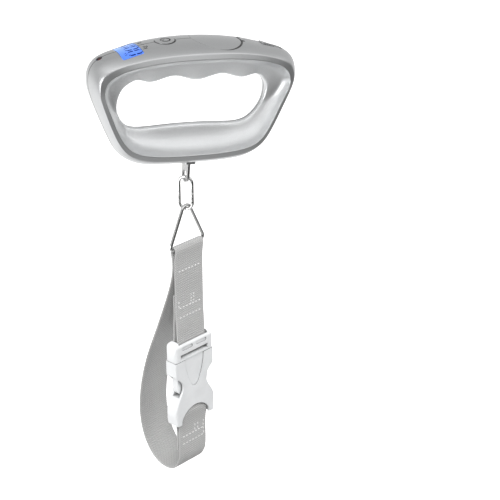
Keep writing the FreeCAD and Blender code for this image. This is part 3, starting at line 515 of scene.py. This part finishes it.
def web_outline(rib):
    """Closed cross-section (across, through) of the webbing at a place where the rib stands at rib, 0 to 1."""
    half = WEB_THICK / 2 - RIB_DEPTH * (1 - rib)
    wide = WEB_WIDE / 2 - 0.10 * (1 - rib)
    round_end = [(wide - half * 0.9 * (1 - math.cos(a)), half * math.sin(a)) for a in
                 [math.pi / 2 * (i / EDGE_STEPS) for i in range(-EDGE_STEPS, EDGE_STEPS + 1)]]
    inner = wide - half * 0.9
    face = [(inner - 2 * inner * i / FACE_STEPS, half) for i in range(1, FACE_STEPS)]
    left = [(-x, -y) for x, y in round_end]
    under = [(-x, -y) for x, y in face]
    return round_end + face + left + under


def web_piece(name, first, last, body=None):
    """Length of webbing between two places along the strap's path, in millimetres of its length."""
    i0, i1 = np.searchsorted(STATIONS, [first, last])
    i1 = min(i1, len(STATIONS) - 1)
    rows = range(i0, i1 + 1)
    ribs = [0.5 + 0.5 * math.cos(2 * math.pi * i / RIB_SAMPLES) for i in range(RIB_SAMPLES)]
    outlines = [web_outline(r) for r in ribs]
    count = len(outlines[0])
    vertices = []
    for i in rows:
        for u, through in outlines[i % RIB_SAMPLES]:
            w, z = CENTRE[i] + NORMAL[i] * through
            vertices.append(hung(u, w, z))
    faces, uvs = [], []
    outline = np.array(outlines[0] + outlines[0][:1])
    girth = np.concatenate([[0.0], np.cumsum(np.linalg.norm(np.diff(outline, axis=0), axis=1))])
    for r in range(len(rows) - 1):
        s0, s1 = STATIONS[i0 + r] / 100, STATIONS[i0 + r + 1] / 100
        for j in range(count):
            k = (j + 1) % count
            faces.append((r * count + j, r * count + k, (r + 1) * count + k, (r + 1) * count + j))
            u0, u1 = girth[j] / 100, girth[j + 1] / 100
            uvs += [(u0, s0), (u1, s0), (u1, s1), (u0, s1)]
    last_row = (len(rows) - 1) * count
    if first <= 0:
        faces.append(tuple(reversed(range(count))))
        uvs += [(0.0, 0.0)] * count
    if last >= STATIONS[-1]:
        faces.append(tuple(range(last_row, last_row + count)))
        uvs += [(0.0, 0.0)] * count
    piece = new_piece(name, vertices, faces, MATERIALS["webbing"], body)
    layer = piece.data.uv_layers.new(name="Weave")
    layer.data.foreach_set("uv", np.array(uvs, np.float32).ravel())
    return piece


def along_path(w, z):
    """Length along the strap at the path point nearest to (w, z)."""
    return STATIONS[int(np.argmin(np.linalg.norm(CENTRE - np.array((w, z)), axis=1)))]


BELLY_START, LOOP_END = (24.3, -78.0), (12.0, -166.0)           # (back, up) places where the pieces meet
strap_upper = web_piece("strap_upper", 0.0, along_path(*BELLY_START), body="webbing")
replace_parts(strap_upper, "strap_main")
strap_loop = web_piece("strap_loop", along_path(*BELLY_START), along_path(*LOOP_END))
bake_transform(strap_loop)
strap_lower = web_piece("strap_lower", along_path(*LOOP_END), STATIONS[-1] + 1, body="socket")
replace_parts(strap_lower, "strap_tail")


# ---- stitching -----------------------------------------------------------------------------------
def tree_of(*objects):
    """Ray-casting tree over the objects' meshes, in the row frame."""
    vertices, faces = [], []
    for o in objects:
        base = len(vertices)
        vertices += [v.co.copy() for v in o.data.vertices]
        faces += [tuple(base + i for i in f.vertices) for f in o.data.polygons]
    return BVHTree.FromPolygons(vertices, faces)


def capsule(start, end, up, radius, rings=6, sides=8):
    """Low, rounded stitch between two points, pinched where the thread dips into the cloth."""
    way = end - start
    side = way.cross(up).normalized()
    vertices = []
    for i in range(rings + 1):
        t = i / rings
        arch = math.sin(math.pi * t)
        middle = start + way * t + up * (radius * (0.9 * arch - 0.55))
        for k in range(sides):
            a = 2 * math.pi * k / sides
            r = radius * (0.35 + 0.65 * arch ** 0.5)
            vertices.append(middle + side * (r * math.cos(a)) + up * (0.8 * r * math.sin(a)))
    faces = [(i * sides + k, i * sides + (k + 1) % sides, (i + 1) * sides + (k + 1) % sides, (i + 1) * sides + k)
             for i in range(rings) for k in range(sides)]
    faces.append(tuple(reversed(range(sides))))
    faces.append(tuple(range(rings * sides, (rings + 1) * sides)))
    return vertices, faces


def seam_runs(rows, uprights):
    """Straight seams as ((u, z), (u, z)) pairs: rows across the strap, and uprights as (u, low z, high z)."""
    half = WEB_WIDE / 2 - SEAM_INSET
    return [((-half, z), (half, z)) for z in rows] + [((u, low), (u, high)) for u, low, high in uprights]


def sew(name, body, cloth, node, rows, uprights):
    """Stitches laid on the front face and on the back face of the strap, in place of a CAD node."""
    tree = tree_of(cloth)
    vertices, faces = [], []
    for side_w, way in zip(SEAM_SIGHTS, (BACK, -BACK)):
        for (u0, z0), (u1, z1) in seam_runs(rows, uprights):
            length = math.hypot(u1 - u0, z1 - z0)
            count = max(1, round(length / (STITCH_LONG + STITCH_GAP)))
            for i in range(count):
                ends = []
                for t in ((i + 0.15) / count, (i + 0.85) / count):
                    hit = tree.ray_cast(hung(u0 + (u1 - u0) * t, side_w, z0 + (z1 - z0) * t), way)[0]
                    ends.append(hit)
                if None in ends:
                    continue
                v, f = capsule(ends[0], ends[1], -way, STITCH_R * MM)
                faces += [tuple(len(vertices) + k for k in face) for face in f]
                vertices += v
    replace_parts(new_piece(name, vertices, faces, MATERIALS["thread"], body), node)


sew("thread_upper", "webbing", strap_upper, "stitching_upper", (-15.5, -41.6, -48.6),
    ((-9.9, -41.6, -36.0), (1.2, -41.0, -34.0), (3.6, -41.0, -34.0)))
sew("thread_lower", "socket", strap_lower, "stitching_lower", (-138.4, -144.0),
    ((2.0, -138.0, -132.0), (4.6, -138.0, -132.0), (9.9, -144.0, -132.0)))


# ---- display and printed marks -------------------------------------------------------------------
def flat_top(node):
    """(middle, normal) of a node's upward face: the mean of the faces that look up."""
    mesh = NODES[node].data
    best = max((p.normal.z * p.area for p in mesh.polygons), default=0.0)
    normal = next(p.normal.copy() for p in mesh.polygons if p.normal.z * p.area == best)
    faces = [p for p in mesh.polygons if p.normal.dot(normal) > 0.999]
    area = sum(p.area for p in faces)
    middle = sum((p.center * p.area for p in faces), Vector()) / area
    return middle, normal


class Sheet:
    """Flat drawing plane on the grip's top: x to the reader's right (+Y), y up the readout (towards -X)."""

    def __init__(self, middle, normal):
        self.middle, self.normal = middle, normal.normalized()
        self.right = Vector((0.0, 1.0, 0.0))
        self.up = self.normal.cross(self.right).normalized()

    def at(self, x, y, lift=0.0):
        return self.middle + (self.right * x + self.up * y + self.normal * lift) * MM


def draped(name, sheet, shapes, tree, body, material, lift):
    """Piece of flat shapes ((x, y) outlines) dropped along the sheet's normal onto the surface in tree."""
    vertices, faces = [], []
    for outline in shapes:
        start = len(vertices)
        for x, y in outline:
            hit = tree.ray_cast(sheet.at(x, y, SHEET_ABOVE), -sheet.normal)[0]
            vertices.append((hit or sheet.at(x, y)) + sheet.normal * (lift * MM))
        faces.append(tuple(range(start, len(vertices))))
    new_piece(name, vertices, faces, material, body)


SEGMENT_ENDS = {          # the seven bars of a digit, in a box one wide and two tall
    "a": ((0, 2), (1, 2)), "b": ((1, 2), (1, 1)), "c": ((1, 1), (1, 0)), "d": ((0, 0), (1, 0)),
    "e": ((0, 1), (0, 0)), "f": ((0, 2), (0, 1)), "g": ((0, 1), (1, 1)),
}


def bar_shape(x0, y0, x1, y1, thick):
    """Six-sided bar between two points, pointed at both ends."""
    way = Vector((x1 - x0, y1 - y0)).normalized()
    off = Vector((-way.y, way.x)) * (thick / 2)
    a, b = Vector((x0, y0)) + way * (thick * 0.15), Vector((x1, y1)) - way * (thick * 0.15)
    inset = way * (thick / 2)
    ring = [a, a + inset - off, b - inset - off, b, b - inset + off, a + inset + off]
    return [tuple(v) for v in ring]


def digit(segments, x, y, wide, tall, thick):
    lean = 0.06 * tall
    shapes = []
    for s in segments:
        (ax, ay), (bx, by) = SEGMENT_ENDS[s]
        shapes.append(bar_shape(x + ax * wide + lean * ay / 2, y + ay * tall / 2,
                                x + bx * wide + lean * by / 2, y + by * tall / 2, thick))
    return shapes


def disc(x, y, radius, sides=14):
    return [(x + radius * math.cos(2 * math.pi * i / sides), y + radius * math.sin(2 * math.pi * i / sides))
            for i in range(sides)]


def readout():
    """Digits laid on the lit window's face."""
    low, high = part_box("lcd_lens")
    tilt = flat_top("lcd_panel")[1]
    sheet = Sheet(Vector(((low.x + high.x) / 2, 0.0, high.z)), tilt)
    bottom = -DIGIT_TALL / 2 - DIGITS_BELOW
    shapes = []
    for x in DIGIT_LEFTS:
        shapes += digit("abcdef", x, bottom, DIGIT_WIDE, DIGIT_TALL, SEGMENT_THICK)
    shapes.append(disc(POINT_X, bottom + 0.1, POINT_R))
    for x in UNIT_FLAGS:
        shapes += [bar_shape(x, 3.6, x, 5.2, 0.4), bar_shape(x, 3.7, x + 0.9, 3.7, 0.4)]
    draped("readout", sheet, shapes, tree_of(NODES["lcd_lens"]), "handle", SEGMENTS, SEGMENT_LIFT)


def letters(name, text, size, sheet, middle, tree, body):
    """Plain letters printed on the surface below the sheet, centred on the (x, y) place."""
    curve = bpy.data.curves.new(name, "FONT")
    curve.body, curve.size = text, size
    curve.align_x, curve.align_y = "CENTER", "CENTER"
    holder = bpy.data.objects.new(name + "_curve", curve)
    bpy.context.scene.collection.objects.link(holder)
    bpy.context.view_layer.update()
    flat = bpy.data.meshes.new_from_object(holder.evaluated_get(bpy.context.evaluated_depsgraph_get()))
    bpy.data.objects.remove(holder)
    places = [(middle[0] + v.co.x, middle[1] + v.co.y) for v in flat.vertices]
    shapes = [[places[i] for i in f.vertices] for f in flat.polygons]
    draped(name, sheet, shapes, tree, body, PRINT, INK_LIFT)


def power_mark():
    """Shapes of a broken ring with a bar through its gap."""
    half, sweep = POWER_THICK / 2, 2 * (math.pi - POWER_GAP)
    shapes = []
    for i in range(POWER_STEPS):
        a, b = (math.pi / 2 + POWER_GAP + sweep * k / POWER_STEPS for k in (i, i + 1))
        ring = [(POWER_R - half, a), (POWER_R + half, a), (POWER_R + half, b), (POWER_R - half, b)]
        shapes.append([(r * math.cos(t), r * math.sin(t)) for r, t in ring])
    shapes.append([(-half, 0.6), (half, 0.6), (half, 3.3), (-half, 3.3)])
    return shapes


def printed_marks():
    """Power symbol on the button, unit marks by the window and ON and OFF by the switch."""
    shells = tree_of(NODES["front_shell"], NODES["rear_shell"])
    down = Vector(JOINTS["button_press"]["axis"])
    low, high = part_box("power_button")
    cap = Sheet(Vector(((low.x + high.x) / 2, 0.0, high.z)), -down)
    draped("power_mark", cap, power_mark(), tree_of(NODES["power_button"]), "button", PRINT,
           INK_LIFT)
    middle, normal = flat_top("lcd_panel")
    units = Sheet(middle + Vector((UNITS_BEYOND * MM, 0.0, 0.0)), normal)
    letters("unit_marks", "kg  /  lb", UNIT_SIZE, units, UNITS_AT, shells, "handle")
    slope = Vector(JOINTS["switch_slide"]["axis"])
    low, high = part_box("switch_knob")
    side = Sheet(Vector(((low.x + high.x) / 2, 0.0, high.z)), slope.cross(Vector((0.0, 1.0, 0.0))) * -1.0)
    if side.normal.z < 0:
        side = Sheet(side.middle, -side.normal)
    letters("switch_on", "ON", SWITCH_SIZE, side, ON_AT, shells, "handle")
    letters("switch_off", "OFF", SWITCH_SIZE, side, OFF_AT, shells, "handle")


readout()
printed_marks()


# ---- studio --------------------------------------------------------------------------------------
SCENE = bpy.context.scene
# radiance by height (0 straight down, 0.5 the horizon, 1 straight up), in front of the scale and behind it
FRONT_LEVELS = [(0.0, 0.62), (0.10, 0.42), (0.28, 0.08), (0.56, 0.08), (0.68, 0.62), (0.86, 1.15), (1.0, 1.0)]
BACK_LEVELS = [(0.0, 0.70), (0.16, 1.25), (0.32, 1.05), (0.50, 0.70), (0.70, 0.50), (0.88, 0.42), (1.0, 0.48)]
FRONT_ENDS, BACK_STARTS = -0.35, 0.45           # Y of a ray's direction where one gives way to the other
OPENING_PLACES = ((-0.030, -0.012, -0.013), (0.0, -0.012, -0.013), (0.030, -0.012, -0.013))
OPENING_POWER, OPENING_R = 0.030, 0.010
FLOOR_DROP, FLOOR_REACH = 0.06, 30.0            # floor, below the lowest point and to each side
CAMERA_AT, CAMERA_LENS = (-0.3895861, -0.8800531, 0.2950632), 117.94
CAMERA_TURN = (0.8185672, 0.5321376, -0.1498454, -0.1559602)


def ramp(tree, socket, stops):
    """Grey that follows the stops as the value goes from 0 to 1."""
    made = tree.nodes.new("ShaderNodeValToRGB")
    made.color_ramp.interpolation = "EASE"
    elements = made.color_ramp.elements
    while len(elements) < len(stops):
        elements.new(0.5)
    for element, (where, value) in zip(elements, stops):
        element.position = where
        element.color = (value, value, value, 1.0)
    tree.links.new(socket, made.inputs["Fac"])
    return made.outputs["Color"]


def spread(tree, socket, low, high):
    """Turn a value between low and high into a smooth 0 to 1."""
    made = tree.nodes.new("ShaderNodeMapRange")
    made.interpolation_type = "SMOOTHSTEP"
    made.inputs["From Min"].default_value, made.inputs["From Max"].default_value = low, high
    tree.links.new(socket, made.inputs["Value"])
    return made.outputs["Result"]


def studio_world():
    """White surround for the camera; reflections see a dim front, a bright ceiling and a bright low back."""
    world = bpy.data.worlds.new("studio")
    SCENE.world = world
    world.use_nodes = True
    tree = world.node_tree
    tree.nodes.clear()
    new, link = tree.nodes.new, tree.links.new
    split = new("ShaderNodeSeparateXYZ")
    link(new("ShaderNodeTexCoord").outputs["Generated"], split.inputs[0])
    height = new("ShaderNodeMapRange")
    height.inputs["From Min"].default_value = -1.0
    link(split.outputs["Z"], height.inputs["Value"])
    blend = new("ShaderNodeMix")
    blend.data_type = "RGBA"
    link(spread(tree, split.outputs["Y"], FRONT_ENDS, BACK_STARTS), blend.inputs["Factor"])
    link(ramp(tree, height.outputs["Result"], FRONT_LEVELS), blend.inputs["A"])
    link(ramp(tree, height.outputs["Result"], BACK_LEVELS), blend.inputs["B"])
    seen, felt = new("ShaderNodeBackground"), new("ShaderNodeBackground")
    seen.inputs["Color"].default_value = grey(1.0)
    link(blend.outputs["Result"], felt.inputs["Color"])
    choose, out = new("ShaderNodeMixShader"), new("ShaderNodeOutputWorld")
    link(new("ShaderNodeLightPath").outputs["Is Camera Ray"], choose.inputs[0])
    link(felt.outputs[0], choose.inputs[1])
    link(seen.outputs[0], choose.inputs[2])
    link(choose.outputs[0], out.inputs["Surface"])


def add_light(name, data, where):
    """Light that the camera never sees, and that leaves no highlight unless it is told to."""
    obj = bpy.data.objects.new(name, data)
    SCENE.collection.objects.link(obj)
    obj.location = where
    obj.visible_glossy, obj.visible_camera = False, False
    return obj


def soft_lamp(name, where, target, size, power, glossy=False, tall=None):
    """Area lamp aimed at a point: a disc, or a rectangle where tall is given."""
    data = bpy.data.lights.new(name, "AREA")
    data.shape, data.size, data.energy = "RECTANGLE" if tall else "DISK", size, power
    if tall:
        data.size_y = tall
    obj = add_light(name, data, where)
    obj.rotation_mode = "QUATERNION"
    obj.rotation_quaternion = (Vector(target) - Vector(where)).to_track_quat("-Z", "Y")
    obj.visible_glossy = glossy


def opening_lamps():
    """Small lamps on the hand opening's axis, just in front of it, that light the faces turned inwards."""
    for i, where in enumerate(OPENING_PLACES):
        data = bpy.data.lights.new("opening_%d" % i, "POINT")
        data.energy, data.shadow_soft_size = OPENING_POWER, OPENING_R
        add_light("opening_%d" % i, data, where)


def pale_floor(height):
    """Plain floor that only the camera sees: it casts no shadow and shows in no reflection."""
    mesh = bpy.data.meshes.new("floor")
    mesh.from_pydata([(x * FLOOR_REACH, y * FLOOR_REACH, height) for x, y in ((-1, -1), (1, -1), (1, 1), (-1, 1))],
                     [], [(0, 1, 2, 3)])
    obj = bpy.data.objects.new("floor", mesh)
    SCENE.collection.objects.link(obj)
    p = Paint("floor")
    faint = p.noise(3.0, 2.0)
    p.set(Base_Color=p.mix(faint, grey(0.90), grey(0.92)), Roughness=0.9,
          Emission_Color=grey(1.0), Emission_Strength=0.62)
    obj.data.materials.append(p.material)
    obj.visible_glossy = obj.visible_diffuse = obj.visible_shadow = False


def camera():
    """Long lens from the front left, a little above the grip."""
    data = bpy.data.cameras.new("camera")
    data.lens, data.sensor_width = CAMERA_LENS, 36.0
    data.clip_start, data.clip_end = 0.05, 60.0
    obj = bpy.data.objects.new("camera", data)
    SCENE.collection.objects.link(obj)
    obj.location = CAMERA_AT
    obj.rotation_mode = "QUATERNION"
    obj.rotation_quaternion = CAMERA_TURN
    SCENE.camera = obj


studio_world()
pale_floor(cad_low.z - FLOOR_DROP)
soft_lamp("key", (-0.7, -1.3, 1.0), (0, 0, -0.1), 0.9, 20.0)
soft_lamp("fill", (1.1, -0.9, 0.3), (0, 0, -0.12), 1.0, 6.0)
opening_lamps()
soft_lamp("strip", (-1.1, -0.5, -0.25), (0, 0, -0.09), 0.40, 5.0, glossy=True, tall=0.9)
camera()
SCENE.view_settings.view_transform = "Standard"
